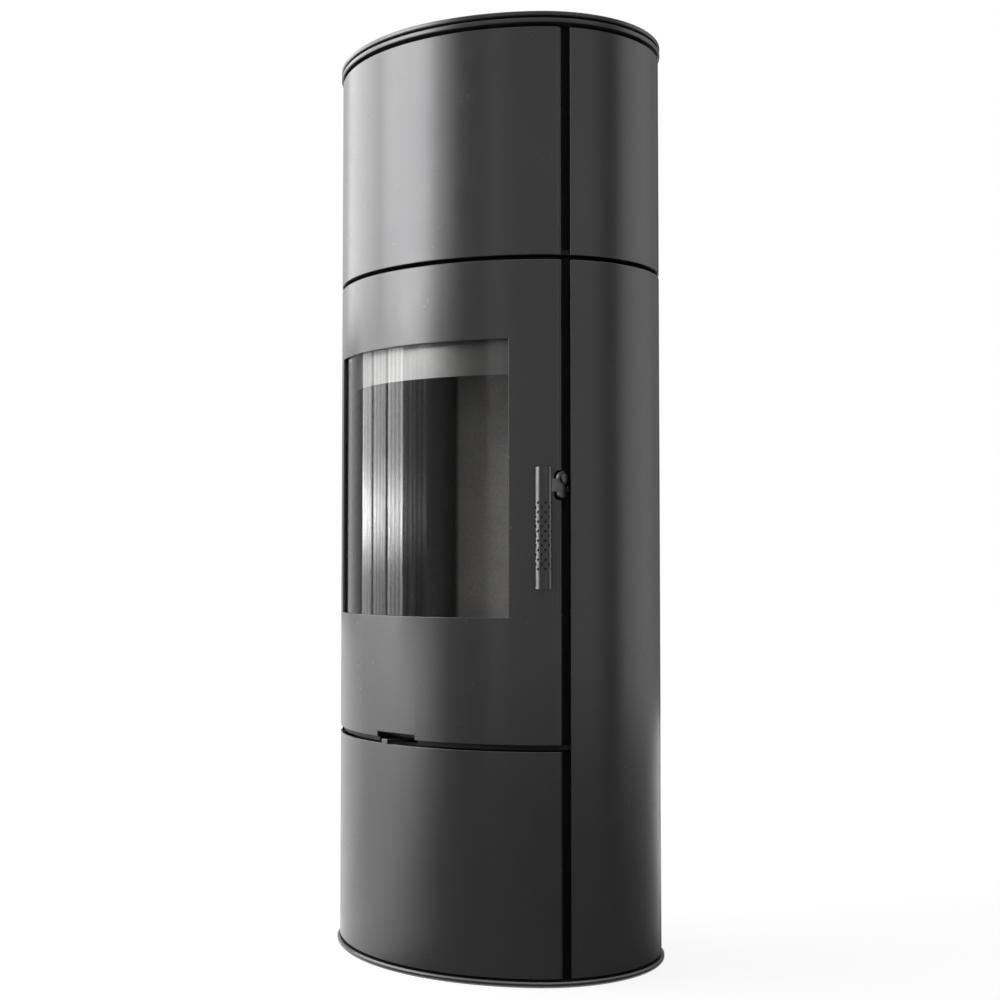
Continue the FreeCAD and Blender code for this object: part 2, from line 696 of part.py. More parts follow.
def sheet_ring(outer, inner, wide, z0, z1, narrow, open_z0, open_z1):
    ring = shell(outer, inner, -wide, wide, z0, z1)
    return ring.cut(shell(outer - CUT, inner + CUT, -narrow, narrow, open_z0, open_z1))


# Side edges of the glass, its fixings and the rope seal, as lengths along the door from the window's edge
GLASS_EDGE_DEG = angle_past(WINDOW_DEG, GLASS_LAP, GLASS_IN)
GASKET_OPEN_DEG = angle_past(WINDOW_DEG, GASKET_LAP, GASKET_IN)
RETAINER_START_DEG = angle_past(WINDOW_DEG, RETAINER_LAP, RETAINER_IN)
RETAINER_EDGE_DEG = angle_past(RETAINER_START_DEG, RETAINER_SIDE_W, RETAINER_IN)
DOOR_FRAME_OPEN_DEG = angle_past(RETAINER_EDGE_DEG, SEAT_GAP, DOOR_FRAME_INSET)
ROPE_OUTER = DOOR_FRAME_INSET + DOOR_FRAME_T + LAYER_GAP
ROPE_IN_DEG = angle_past(DOOR_FRAME_OPEN_DEG, ROPE_SIDE_GAP, ROPE_OUTER)
ROPE_OUT_DEG = angle_past(ROPE_IN_DEG, ROPE_W, ROPE_OUTER)
FRAME_NOTCH_DEG = angle_past(ROPE_OUT_DEG, FRAME_NOTCH_GAP, DOOR_FRAME_INSET)


def glass_gasket():
    return sheet_ring(GASKET_IN, GASKET_IN + GASKET_T, GLASS_EDGE_DEG, GLASS_Z0, GLASS_Z1,
                      GASKET_OPEN_DEG, WINDOW_Z0 - GASKET_LAP, WINDOW_Z1 + GASKET_LAP)


def door_glass():
    return shell(GLASS_IN, GLASS_IN + GLASS_T, -GLASS_EDGE_DEG, GLASS_EDGE_DEG, GLASS_Z0, GLASS_Z1)


RETAINER_OUT = RETAINER_IN + RETAINER_T
RETAINER_LOW = WINDOW_Z0 - RETAINER_LAP
RETAINER_HIGH = WINDOW_Z1 + RETAINER_LAP


def glass_retainer_top():
    return shell(RETAINER_IN, RETAINER_OUT, -RETAINER_EDGE_DEG, RETAINER_EDGE_DEG,
                 RETAINER_HIGH, RETAINER_HIGH + RETAINER_W)


def glass_retainer_bottom():
    return shell(RETAINER_IN, RETAINER_OUT, -RETAINER_EDGE_DEG, RETAINER_EDGE_DEG,
                 RETAINER_LOW - RETAINER_W, RETAINER_LOW)


def glass_retainer_right():
    return shell(RETAINER_IN, RETAINER_OUT, RETAINER_START_DEG, RETAINER_EDGE_DEG,
                 RETAINER_LOW + SEAT_GAP, RETAINER_HIGH - SEAT_GAP)


def glass_retainer_left():
    return mirror_x(glass_retainer_right())


def door_frame():
    inner = DOOR_FRAME_INSET + DOOR_FRAME_T
    frame = sheet_ring(DOOR_FRAME_INSET, inner, DOOR_FRAME_EDGE_DEG, DOOR_FRAME_Z0, DOOR_FRAME_Z1,
                       DOOR_FRAME_OPEN_DEG, RETAINER_LOW - RETAINER_W - SEAT_GAP,
                       RETAINER_HIGH + RETAINER_W + SEAT_GAP)
    return frame.cut(latch_notch(FRAME_NOTCH_DEG))


def door_gasket():
    low = DOOR_Z0 + ROPE_MARGIN
    high = DOOR_Z1 - ROPE_TOP_MARGIN
    return sheet_ring(ROPE_OUTER, FRAME_INSET - SEAT_GAP, ROPE_OUT_DEG, low, high,
                      ROPE_IN_DEG, low + ROPE_W, high - ROPE_W)


# Latch: claw plate on a pin in the door edge, and the striker on the front frame
EDGE = oval_point(FRONT_EDGE_DEG, BEND_R)
LATCH_X = EDGE.x + LATCH_OUT
LATCH_Y = EDGE.y + LATCH_IN
LATCH_BLOCK_X1 = LATCH_X - CLAW_T / 2 - LATCH_SHOULDER
LATCH_BLOCK_X0 = LATCH_BLOCK_X1 - LATCH_BLOCK_W
STRIKER_PLATE_X = LATCH_X - STRIKER_PLATE_IN
HANDLE_Y = LATCH_Y - HANDLE_STANDOFF


def latch_bracket():
    solid = box(LATCH_BLOCK_X0, LATCH_BLOCK_X1, -BODY_DEPTH, LATCH_Y + LATCH_BLOCK_BACK,
                LATCH_Z - LATCH_BLOCK_H / 2, LATCH_Z + LATCH_BLOCK_H / 2)
    solid = solid.common(oval_plate(DOOR_T + SEAT_GAP, 0, TOP_Z1))
    return solid.cut(rod_x(CLAW_PIN_R + RUN_GAP, LATCH_Y, LATCH_Z, LATCH_BLOCK_X0 - CUT, LATCH_X + CUT))


def latch_pivot():
    claw_in = LATCH_X - CLAW_T / 2
    claw_out = LATCH_X + CLAW_T / 2
    pin = rod_x(CLAW_PIN_R, LATCH_Y, LATCH_Z, LATCH_BLOCK_X0, claw_out + SEAT_GAP)
    shoulder = rod_x(LATCH_HEAD_R, LATCH_Y, LATCH_Z, LATCH_BLOCK_X1 + SEAT_GAP, claw_in - SEAT_GAP)
    head = rod_x(LATCH_HEAD_R, LATCH_Y, LATCH_Z, claw_out + SEAT_GAP, claw_out + SEAT_GAP + LATCH_HEAD_T)
    return fuse([pin, shoulder, head])


def latch_claw():
    x0 = LATCH_X - CLAW_T / 2
    x1 = LATCH_X + CLAW_T / 2
    ring = rod_x(CLAW_RING_R, LATCH_Y, LATCH_Z, x0, x1)
    neck = box(x0, x1, HANDLE_Y, LATCH_Y, LATCH_Z - NECK_BELOW, LATCH_Z - NECK_TOP_DROP)
    jaw = box(x0, x1, LATCH_Y - JAW_FRONT, LATCH_Y + JAW_BACK, LATCH_Z - JAW_DROP, LATCH_Z)
    heel = [edge for edge in jaw.Edges if edge.BoundBox.XLength > CLAW_T / 2
            and edge.BoundBox.ZMax < LATCH_Z - CLAW_T and edge.BoundBox.YMax < LATCH_Y]
    jaw = jaw.makeFillet(MOUTH_R, heel)
    mouth_y = LATCH_Y + MOUTH_CENTRE_Y
    mouth_z = LATCH_Z - MOUTH_DROP
    mouth = fuse([rod_x(MOUTH_R, mouth_y, mouth_z, x0 - CUT, x1 + CUT),
                  box(x0 - CUT, x1 + CUT, mouth_y, mouth_y + CUT, mouth_z - MOUTH_R, mouth_z),
                  box(x0 - CUT, x1 + CUT, mouth_y - MOUTH_R, mouth_y + CUT, mouth_z, LATCH_Z + CUT)])
    plate = fuse([ring, neck, jaw.cut(mouth)])
    plate = plate.cut(rod(HANDLE_R + RUN_GAP, LATCH_X, HANDLE_Y, HANDLE_Z0, HANDLE_Z1))
    return plate.cut(rod_x(CLAW_PIN_R + RUN_GAP, LATCH_Y, LATCH_Z, x0 - CUT, x1 + CUT))


def striker_bracket():
    mouth_y = LATCH_Y + MOUTH_CENTRE_Y
    mouth_z = LATCH_Z - MOUTH_DROP
    plate = box(STRIKER_PLATE_X, STRIKER_PLATE_X + STRIKER_PLATE_T, mouth_y - STRIKER_PLATE_FRONT, 0,
                mouth_z - STRIKER_PLATE_H / 2, mouth_z + STRIKER_PLATE_H / 2)
    return plate.cut(oval_plate(FRAME_INSET - LAYER_GAP, 0, TOP_Z1))


def striker_pin():
    mouth_y = LATCH_Y + MOUTH_CENTRE_Y
    mouth_z = LATCH_Z - MOUTH_DROP
    return rod_x(STRIKER_R, mouth_y, mouth_z, STRIKER_PLATE_X + STRIKER_PLATE_T, LATCH_X + STRIKER_END)


# Many-sided bar that cuts one hole, from the tube's middle outwards
def hole_bar(turn, z):
    way = vec(math.sin(turn), -math.cos(turn))
    across = vec(math.cos(turn), math.sin(turn))
    corners = []
    for corner in range(HOLE_SIDE_COUNT + 1):
        angle = math.radians(FULL_TURN * corner / HOLE_SIDE_COUNT)
        offset = across * (HOLE_R * math.cos(angle)) + vec(0, 0, HOLE_R * math.sin(angle))
        corners.append(vec(LATCH_X, HANDLE_Y, z) + offset)
    return Part.Face(Part.makePolygon(corners)).extrude(way * (HANDLE_R + HANDLE_WALL))


# Perforated tube handle
def handle_tube():
    z0 = HANDLE_Z0 + CAP_T
    z1 = HANDLE_Z1 - CAP_T
    tube = rod(HANDLE_R, LATCH_X, HANDLE_Y, z0, z1).cut(
        rod(HANDLE_R - HANDLE_WALL, LATCH_X, HANDLE_Y, z0 - CUT, z1 + CUT))
    drills = []
    for column in range(HOLE_COLUMN_COUNT):
        turn = math.radians(HOLE_TURN_DEG + FULL_TURN * column / HOLE_COLUMN_COUNT)
        odd = column % 2
        for row in range(HOLE_ROW_COUNT - odd):
            z = HANDLE_Z0 + HOLES_ABOVE + HOLE_PITCH * (row + odd / 2)
            drills.append(hole_bar(turn, z))
    return tube.cut(drills)


def handle_caps():
    caps = []
    for rim_z0, plug_z0 in ((HANDLE_Z0, HANDLE_Z0), (HANDLE_Z1 - CAP_T, HANDLE_Z1 - CAP_T - CAP_PLUG)):
        rim = rod(HANDLE_R, LATCH_X, HANDLE_Y, rim_z0, rim_z0 + CAP_T)
        plug = rod(HANDLE_R - HANDLE_WALL - RUN_GAP, LATCH_X, HANDLE_Y, plug_z0, plug_z0 + CAP_T + CAP_PLUG)
        caps.append(fuse([rim, plug]))
    return Part.Compound(caps)


# Lower door and its catch
def lower_panel():
    return bent_panel(SHEET_T, PANEL_Z0, LOWER_Z1)


def catch_plate():
    inner = SHEET_T + CATCH_GAP
    return shell(inner, inner + CATCH_PLATE_T, CATCH_DEG - CATCH_SPAN_DEG / 2,
                 CATCH_DEG + CATCH_SPAN_DEG / 2, CATCH_Z0, CATCH_Z0 + CATCH_H)


def magnet_catch():
    outer = SHEET_T + CATCH_GAP + CATCH_PLATE_T + SEAT_GAP
    return shell(outer, FRAME_INSET - LAYER_GAP, CATCH_DEG - CATCH_SPAN_DEG / 2,
                 CATCH_DEG + CATCH_SPAN_DEG / 2, CATCH_Z0, CATCH_Z0 + CATCH_H)


# Air valve: disc, lever and pivot bolt
VALVE_Z0 = MID_Z1 + LAYER_GAP
LEVER_Z0 = VALVE_Z0 + VALVE_T
LEVER_Z1 = LEVER_Z0 + LEVER_T


def at_rest(shape):
    return shape.rotate(vec(0, AIR_PIVOT_Y), vec(0, 0, 1), AIR_REST_DEG)


def air_valve_disc():
    disc = rod(VALVE_R, 0, AIR_PIVOT_Y, VALVE_Z0, LEVER_Z0)
    for side in (-VALVE_HOLE_AT, VALVE_HOLE_AT):
        disc = disc.cut(rod(VALVE_HOLE_R, side, AIR_PIVOT_Y, VALVE_Z0 - CUT, LEVER_Z0 + CUT))
    disc = disc.cut(rod(AIR_BOLT_R + RUN_GAP, 0, AIR_PIVOT_Y, VALVE_Z0 - CUT, LEVER_Z0 + CUT))
    return at_rest(disc)


def air_lever():
    half = LEVER_W / 2
    tip = AIR_PIVOT_Y - LEVER_REACH
    crank = AIR_PIVOT_Y - VALVE_R - CRANK_GAP
    arm_z0 = MID_Z0 + LEVER_RISE
    lip_z0 = MID_Z0 - LIP_DROP
    hub = rod(half, 0, AIR_PIVOT_Y, LEVER_Z0, LEVER_Z1)
    upper_arm = box(-half, half, crank, AIR_PIVOT_Y, LEVER_Z0, LEVER_Z1)
    riser = box(-half, half, crank - LEVER_T, crank, arm_z0, LEVER_Z1)
    lower_arm = box(-half, half, tip, crank - LEVER_T, arm_z0, arm_z0 + LEVER_T)
    lip = box(-LIP_W / 2, LIP_W / 2, tip - LIP_T, tip, lip_z0, lip_z0 + LIP_H)
    front = [edge for edge in lip.Edges if edge.BoundBox.YMax < tip - LIP_T / 2]
    lip = lip.makeFillet(LIP_EDGE_R, front)
    lever = fuse([hub, upper_arm, riser, lower_arm, lip])
    lever = lever.cut(rod(AIR_BOLT_R + RUN_GAP, 0, AIR_PIVOT_Y, LEVER_Z0 - CUT, LEVER_Z1 + CUT))
    return at_rest(lever)


def air_pivot():
    bolt = rod(AIR_BOLT_R, 0, AIR_PIVOT_Y, MID_Z1, LEVER_Z1 + SEAT_GAP)
    head = rod(AIR_HEAD_R, 0, AIR_PIVOT_Y, LEVER_Z1 + SEAT_GAP, LEVER_Z1 + SEAT_GAP + AIR_HEAD_T)
    return fuse([bolt, head])


NODES = (
    base_plate, pedestal_jacket, pedestal_frame, mid_plate, divider_plate, body_jacket, upper_jacket,
    front_frame, air_wash_plate, firebox_shell, brick_left, brick_right, brick_back, brick_floor, baffle_plate,
    grate, ash_pan, ash_pan_rails, side_panel_left, side_panel_right, rear_panel, upper_side_panel_left,
    upper_side_panel_right, upper_rear_panel, upper_front_panel, flue_pipe, flue_collar,
    top_ring, top_spacer, top_plate, air_collar, door_hinge_pins, lower_hinge_pins, striker_bracket,
    striker_pin, magnet_catch, air_pivot,
    door_panel, door_glass, glass_gasket, glass_retainer_top, glass_retainer_bottom, glass_retainer_left,
    glass_retainer_right, door_frame, door_gasket, door_hinge_tabs, latch_bracket,
    latch_pivot,
    handle_tube, handle_caps, latch_claw,
    lower_panel, lower_hinge_tabs, catch_plate,
    air_lever, air_valve_disc,
)

os.makedirs("parts", exist_ok=True)
for node in NODES:
    node().exportStep("parts/" + node.__name__ + ".step")
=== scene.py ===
import json
import math

import bpy
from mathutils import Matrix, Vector


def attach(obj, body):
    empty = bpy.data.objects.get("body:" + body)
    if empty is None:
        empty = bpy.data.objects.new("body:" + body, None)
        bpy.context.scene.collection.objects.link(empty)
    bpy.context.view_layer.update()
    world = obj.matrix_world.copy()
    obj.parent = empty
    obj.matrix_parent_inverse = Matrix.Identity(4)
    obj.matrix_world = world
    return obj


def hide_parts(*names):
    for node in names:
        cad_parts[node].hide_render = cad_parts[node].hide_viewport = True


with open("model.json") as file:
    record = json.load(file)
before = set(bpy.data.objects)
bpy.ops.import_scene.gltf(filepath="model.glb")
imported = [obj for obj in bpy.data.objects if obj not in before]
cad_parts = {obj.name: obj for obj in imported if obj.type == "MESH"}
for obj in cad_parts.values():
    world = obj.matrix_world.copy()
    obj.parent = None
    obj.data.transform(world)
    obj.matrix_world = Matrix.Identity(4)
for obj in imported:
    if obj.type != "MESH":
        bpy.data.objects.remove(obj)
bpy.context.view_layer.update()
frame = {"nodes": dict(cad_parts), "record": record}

# Camera, fitted to the photograph
CAMERA_AT = (1.69619, -1.77086, 0.59750)
CAMERA_AZIMUTH = 43.766
CAMERA_PITCH = 2.350
CAMERA_LENS = 56.775
CAMERA_SENSOR = 36.0
CAMERA_SHIFT_X = 0.00327
CAMERA_SHIFT_Y = -0.00898

# Turns in degrees
QUARTER_TURN = 90.0
HALF_TURN = 180.0
FULL_TURN = 360.0

# Plan of the stove in metres: four tangent arcs
BODY_WIDTH = 0.542
BODY_DEPTH = 0.428
SIDE_RADIUS = 0.182147
FRONT_RADIUS = 0.322
ARC_RISE = FRONT_RADIUS - BODY_DEPTH / 2
SIDE_CENTRE = BODY_WIDTH / 2 - SIDE_RADIUS
BLEND_ANGLE = math.degrees(math.atan2(SIDE_CENTRE, ARC_RISE))

# Levels in metres
PANEL_LOW = 0.0115
PANEL_HIGH = 1.0153
UPPER_LOW = 1.0224
UPPER_HIGH = 1.3480
WINDOW_LOW = 0.5100
WINDOW_HIGH = 0.9035

# Rope seal of the door
ROPE_INSET = 0.0177
ROPE_ANGLE = 41.96
ROPE_LOW = 0.3570
ROPE_HIGH = 0.9503
ROPE_HALF_DEEP = 0.0052
ROPE_HALF_WIDE = 0.0049
ROPE_CORNER = 0.016
ROPE_STEP = 0.0022
ROPE_SIDES = 24
ROPE_STRANDS = 5
ROPE_LAY = 0.021
ROPE_STRAND_SHARE = 0.13

# Tape seal of the glass
TAPE_INSET = 0.00375
TAPE_ANGLE = 34.83
TAPE_MARGIN = 0.0085
TAPE_HALF_DEEP = 0.0005
TAPE_HALF_WIDE = 0.0062
TAPE_CORNER = 0.009
TAPE_STEP = 0.003
TAPE_RIB_STEPS = 4
TAPE_SIDES = 16
TAPE_RIB_SHARE = 0.16
TAPE_SQUARENESS = 1 / 3

# Fewest steps round a corner of either seal
CORNER_STEPS_LEAST = 4

# Screw heads
REAR_SCREW_ANGLE = 140.0
REAR_SCREW_R = 0.0045
REAR_SCREW_H = 0.0022
REAR_SCREW_SHARES = (0.03, 0.35, 0.67, 0.97)
DOOR_SCREW_ANGLE = 37.2
DOOR_SCREW_INSET = 0.0107
DOOR_SCREW_R = 0.0036
DOOR_SCREW_H = 0.0020
DOOR_SCREW_LOW = 0.4775
DOOR_SCREW_HIGH = 0.9360
DOOR_SCREW_SHARES = (0.06, 0.35, 0.65, 0.94)
SCREW_SIDES = 24
SCREW_PROFILE_SHARES = ((1.0, 0.0), (1.0, 0.40), (0.95, 0.68), (0.84, 0.88), (0.70, 0.98), (0.60, 1.0))
SOCKET_SHARE = 0.50
SOCKET_FLOOR_SHARE = 0.35
SOCKET_SIDES = 6

# Painted shade on the firebox's side boards, a near-black colour that stands in for the shade on these
# unlit walls: distances from the middle where it starts and where it is full
SIDE_SHADE_FROM = 0.1505
SIDE_SHADE_FULL = 0.1600

# Ranges that the materials share
FULL = (0.0, 1.0)
MIDDLE = (0.3, 0.7)
QUARTERS = (0.25, 0.75)
UPPER_MIDDLE = (0.35, 0.7)

# Rubbed edges: samples of the rounded normal, and its likeness to the flat one on faces and on edges
BEVEL_SAMPLES = 6
EDGE_TURN = (1.0, 0.72)

# Numbers of the Mix node's colour sockets: factor, first and second, and the result
MIX_INPUTS = (0, 6, 7)
MIX_OUTPUT = 2


def raised(level):
    return Vector((0, 0, level))


def oval_point(angle, inset):
    """Point of the plan at an angle from the front towards the right, inset from the cladding's face."""
    turn = (angle + HALF_TURN) % FULL_TURN - HALF_TURN
    sine = math.sin(math.radians(turn))
    cosine = math.cos(math.radians(turn))
    if abs(turn) <= BLEND_ANGLE:
        return Vector(((FRONT_RADIUS - inset) * sine, ARC_RISE - (FRONT_RADIUS - inset) * cosine, 0))
    if abs(turn) >= HALF_TURN - BLEND_ANGLE:
        return Vector(((FRONT_RADIUS - inset) * sine, -ARC_RISE - (FRONT_RADIUS - inset) * cosine, 0))
    side = math.copysign(SIDE_CENTRE, turn)
    return Vector((side + (SIDE_RADIUS - inset) * sine, -(SIDE_RADIUS - inset) * cosine, 0))


def outward(angle):
    return Vector((math.sin(math.radians(angle)), -math.cos(math.radians(angle)), 0))


def new_piece(name, points, faces, smooth=True):
    mesh = bpy.data.meshes.new(name)
    mesh.from_pydata([tuple(p) for p in points], [], faces)
    mesh.validate()
    for polygon in mesh.polygons:
        polygon.use_smooth = smooth
    piece = bpy.data.objects.new(name, mesh)
    bpy.context.scene.collection.objects.link(piece)
    return piece


def front_angle(along, inset):
    """Angle from the front of a point at a distance along the curved front."""
    reach = FRONT_RADIUS - inset
    blend = math.radians(BLEND_ANGLE) * reach
    distance = abs(along)
    if distance <= blend:
        return math.copysign(math.degrees(distance / reach), along)
    return math.copysign(BLEND_ANGLE + math.degrees((distance - blend) / (SIDE_RADIUS - inset)), along)


def front_distance(angle, inset):
    """Distance along the curved front from its middle to an angle."""
    distance = math.radians(min(angle, BLEND_ANGLE)) * (FRONT_RADIUS - inset)
    return distance + math.radians(max(angle - BLEND_ANGLE, 0)) * (SIDE_RADIUS - inset)


def rounded_outline(half, low, high, corner, step):
    """Rectangle with rounded corners, flat: distance along the front and level of each point."""
    centres = ((half - corner, low + corner, -QUARTER_TURN), (half - corner, high - corner, 0),
               (corner - half, high - corner, QUARTER_TURN), (corner - half, low + corner, HALF_TURN))
    steps = max(CORNER_STEPS_LEAST, round(corner * math.pi / 2 / step))
    outline = []
    for along, level, start in centres:
        for part in range(steps + 1):
            turn = math.radians(start + QUARTER_TURN * part / steps)
            outline.append((along + corner * math.cos(turn), level + corner * math.sin(turn)))
    return outline


def rounded_loop(half_angle, low, high, inset, corner, step):
    """Closed rectangle with rounded corners, laid on the curved front: points and directions outward."""
    outline = rounded_outline(front_distance(half_angle, inset), low, high, corner, step)
    loop = []
    for here, there in zip(outline, outline[1:] + outline[:1]):
        length = math.hypot(there[0] - here[0], there[1] - here[1])
        count = max(1, round(length / step))
        for part in range(count):
            share = part / count
            angle = front_angle(here[0] + (there[0] - here[0]) * share, inset)
            level = here[1] + (there[1] - here[1]) * share
            loop.append((oval_point(angle, inset) + raised(level), outward(angle)))
    return loop


def loop_length(loop):
    return sum((b[0] - a[0]).length for a, b in zip(loop, loop[1:] + loop[:1]))


def sweep(name, loop, sides, profile):
    """Closed tube round a loop; profile(turn, distance) gives the offset outwards and sideways."""
    points = []
    faces = []
    travelled = 0.0
    count = len(loop)
    for station, (centre, normal) in enumerate(loop):
        ahead = loop[(station + 1) % count][0]
        behind = loop[station - 1][0]
        tangent = (ahead - behind).normalized()
        across = tangent.cross(normal).normalized()
        out = across.cross(tangent).normalized()
        next_station = (station + 1) % count
        for side in range(sides):
            deep, wide = profile(math.tau * side / sides, travelled)
            points.append(centre + out * deep + across * wide)
            following = (side + 1) % sides
            faces.append((station * sides + side, next_station * sides + side,
                          next_station * sides + following, station * sides + following))
        travelled += (ahead - centre).length
    return new_piece(name, points, faces)


def door_rope():
    loop = rounded_loop(ROPE_ANGLE, ROPE_LOW, ROPE_HIGH, ROPE_INSET, ROPE_CORNER, ROPE_STEP)
    total = loop_length(loop)
    turns = round(total / ROPE_LAY)

    def profile(turn, travelled):
        wave = math.tau * turns * travelled / total
        right = math.cos(ROPE_STRANDS * turn + wave)
        left = math.cos(ROPE_STRANDS * turn - wave)
        swell = 1 - ROPE_STRAND_SHARE + ROPE_STRAND_SHARE * max(right, left)
        return ROPE_HALF_DEEP * swell * math.cos(turn), ROPE_HALF_WIDE * swell * math.sin(turn)

    return sweep("door_rope_seal", loop, ROPE_SIDES, profile)


def squared(value):
    """Sine or cosine bent so that an ellipse becomes nearly a rectangle."""
    return math.copysign(abs(value) ** TAPE_SQUARENESS, value)


def glass_tape():
    low = WINDOW_LOW - TAPE_MARGIN
    high = WINDOW_HIGH + TAPE_MARGIN
    loop = rounded_loop(TAPE_ANGLE, low, high, TAPE_INSET, TAPE_CORNER, TAPE_STEP)
    total = loop_length(loop)
    ribs = round(total / (TAPE_RIB_STEPS * TAPE_STEP))

    def profile(turn, travelled):
        rib = 1 - TAPE_RIB_SHARE + TAPE_RIB_SHARE * math.cos(math.tau * ribs * travelled / total)
        return TAPE_HALF_DEEP * rib * squared(math.cos(turn)), TAPE_HALF_WIDE * squared(math.sin(turn))

    return sweep("glass_tape_seal", loop, TAPE_SIDES, profile)


def socket_reach(radius, turn):
    """Distance from a screw's axis to the wall of its hexagon socket."""
    socket_turn = math.tau / SOCKET_SIDES
    bend = turn % socket_turn - socket_turn / 2
    return radius * SOCKET_SHARE * math.cos(socket_turn / 2) / math.cos(bend)


def screw_rings(radius, height):
    """Rings of a head, over its dome and into its socket: distance from the axis, and level."""
    rings = []
    for ring_share, level_share in SCREW_PROFILE_SHARES:
        rings.append([(radius * ring_share, height * level_share)] * SCREW_SIDES)
    turns = [math.tau * side / SCREW_SIDES for side in range(SCREW_SIDES)]
    for level in (height, height * SOCKET_FLOOR_SHARE):
        rings.append([(socket_reach(radius, turn), level) for turn in turns])
    return rings


def screw_heads(name, places, radius, height):
    """Domed heads with a hexagon socket; places are (seat, direction out of the seat)."""
    rings = screw_rings(radius, height)
    points = []
    faces = []
    for seat, way in places:
        first = len(points)
        side_way = way.cross(raised(1)).normalized()
        up_way = side_way.cross(way).normalized()
        for head_ring in rings:
            for side, (reach, level) in enumerate(head_ring):
                turn = math.tau * side / SCREW_SIDES
                points.append(seat + side_way * (reach * math.cos(turn)) + up_way * (reach * math.sin(turn))
                              + way * level)
        for number in range(len(rings) - 1):
            low = first + number * SCREW_SIDES
            high = low + SCREW_SIDES
            for side in range(SCREW_SIDES):
                following = (side + 1) % SCREW_SIDES
                faces.append((low + side, low + following, high + following, high + side))
        last = len(points) - SCREW_SIDES
        faces.append(tuple(range(last, last + SCREW_SIDES)))
        faces.append(tuple(reversed(range(first, first + SCREW_SIDES))))
    return new_piece(name, points, faces, smooth=False)


def rear_screws():
    places = []
    for low, high in ((PANEL_LOW, PANEL_HIGH), (UPPER_LOW, UPPER_HIGH)):
        for share in REAR_SCREW_SHARES:
            level = raised(low + (high - low) * share)
            for angle in (REAR_SCREW_ANGLE, -REAR_SCREW_ANGLE):
                places.append((oval_point(angle, 0) + level, outward(angle)))
    return screw_heads("rear_panel_screws", places, REAR_SCREW_R, REAR_SCREW_H)


def door_screws():
    places = []
    for share in DOOR_SCREW_SHARES:
        level = raised(DOOR_SCREW_LOW + (DOOR_SCREW_HIGH - DOOR_SCREW_LOW) * share)
        for angle in (DOOR_SCREW_ANGLE, -DOOR_SCREW_ANGLE):
            places.append((oval_point(angle, DOOR_SCREW_INSET) + level, -outward(angle)))
    return screw_heads("glass_retainer_screws", places, DOOR_SCREW_R, DOOR_SCREW_H)


class Shader:
    """A material with one Principled node, and short ways to add the usual nodes."""

    def __init__(self, name):
        self.material = bpy.data.materials.new(name)
        self.material.use_nodes = True
        self.nodes = self.material.node_tree.nodes
        self.links = self.material.node_tree.links
        self.principled = self.nodes["Principled BSDF"]
        self.place = self.nodes.new("ShaderNodeTexCoord").outputs["Object"]

    def set(self, **values):
        for name, value in values.items():
            self.principled.inputs[name.replace("_", " ")].default_value = value

    def feed(self, name, socket):
        self.links.new(socket, self.principled.inputs[name])

    def stretched(self, scale):
        node = self.nodes.new("ShaderNodeMapping")
        self.links.new(self.place, node.inputs["Vector"])
        node.inputs["Scale"].default_value = scale
        return node.outputs["Vector"]

    def noise(self, scale, detail=3.0, rough=0.55, place=None):
        node = self.nodes.new("ShaderNodeTexNoise")
        self.links.new(place or self.place, node.inputs["Vector"])
        node.inputs["Scale"].default_value = scale
        node.inputs["Detail"].default_value = detail
        node.inputs["Roughness"].default_value = rough
        return node.outputs["Fac"]

    def cells(self, scale, output="Distance"):
        node = self.nodes.new("ShaderNodeTexVoronoi")
        self.links.new(self.place, node.inputs["Vector"])
        node.inputs["Scale"].default_value = scale
        return node.outputs[output]

    def spread(self, socket, source, target):
        """Maps one range of values to another."""
        node = self.nodes.new("ShaderNodeMapRange")
        self.links.new(socket, node.inputs["Value"])
        for name, value in zip(("From Min", "From Max", "To Min", "To Max"), (*source, *target)):
            node.inputs[name].default_value = value
        return node.outputs["Result"]

    def roughness(self, socket, source, target):
        self.feed("Roughness", self.spread(socket, source, target))

    def mix(self, factor, first, second, blend="MIX"):
        node = self.nodes.new("ShaderNodeMix")
        node.data_type = "RGBA"
        node.blend_type = blend
        for number, value in zip(MIX_INPUTS, (factor, first, second)):
            port = node.inputs[number]
            if isinstance(value, bpy.types.NodeSocket):
                self.links.new(value, port)
            elif isinstance(value, tuple):
                port.default_value = (*value, 1.0)
            else:
                port.default_value = value
        return node.outputs[MIX_OUTPUT]

    def edges(self, radius):
        """Rounded normal, and how far it turns from the flat one: 0 on faces, more along edges."""
        soft = self.nodes.new("ShaderNodeBevel")
        soft.samples = BEVEL_SAMPLES
        soft.inputs["Radius"].default_value = radius
        flat = self.nodes.new("ShaderNodeNewGeometry")
        node = self.nodes.new("ShaderNodeVectorMath")
        node.operation = "DOT_PRODUCT"
        self.links.new(soft.outputs["Normal"], node.inputs[0])
        self.links.new(flat.outputs["Normal"], node.inputs[1])
        return soft.outputs["Normal"], self.spread(node.outputs["Value"], EDGE_TURN, FULL)

    def upward(self):
        """1 on faces that look up, 0 on upright ones."""
        node = self.nodes.new("ShaderNodeNewGeometry")
        split = self.nodes.new("ShaderNodeSeparateXYZ")
        self.links.new(node.outputs["Normal"], split.inputs["Vector"])
        return split.outputs["Z"]

    def sideways(self):
        """Distance from the middle plane of the stove."""
        split = self.nodes.new("ShaderNodeSeparateXYZ")
        self.links.new(self.place, split.inputs["Vector"])
        size = self.nodes.new("ShaderNodeMath")
        size.operation = "ABSOLUTE"
        self.links.new(split.outputs["X"], size.inputs[0])
        return size.outputs["Value"]

    def bump(self, height, strength, distance, normal=None):
        node = self.nodes.new("ShaderNodeBump")
        self.links.new(height, node.inputs["Height"])
        node.inputs["Strength"].default_value = strength
        node.inputs["Distance"].default_value = distance
        if normal is not None:
            self.links.new(normal, node.inputs["Normal"])
        self.feed("Normal", node.outputs["Normal"])


